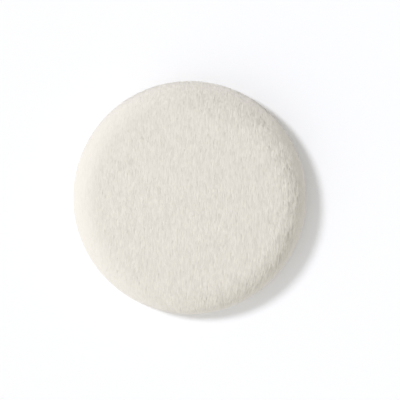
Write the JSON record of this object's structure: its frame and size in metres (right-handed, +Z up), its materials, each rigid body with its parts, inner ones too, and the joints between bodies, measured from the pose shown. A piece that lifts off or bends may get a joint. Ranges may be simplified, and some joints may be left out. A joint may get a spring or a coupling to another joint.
{
  "type": "powder puff",
  "caption": "Round cream velour powder puff: a soft, slightly domed pad with a rolled edge and a low seam, for putting on face powder.",
  "frame": {"origin": "middle of the flat underside, on the surface that the puff lies on", "axes": "+Z up along the round puff's axis, out of the powdering face; +Y is against the lie of the nap"},
  "size_m": [0.06, 0.06, 0.0105],
  "materials": {
    "velour": "short brushed velour nap, matt cream"
  },
  "bodies": {
    "root": {"velour_puff": "velour"}
  },
  "joints": []
}
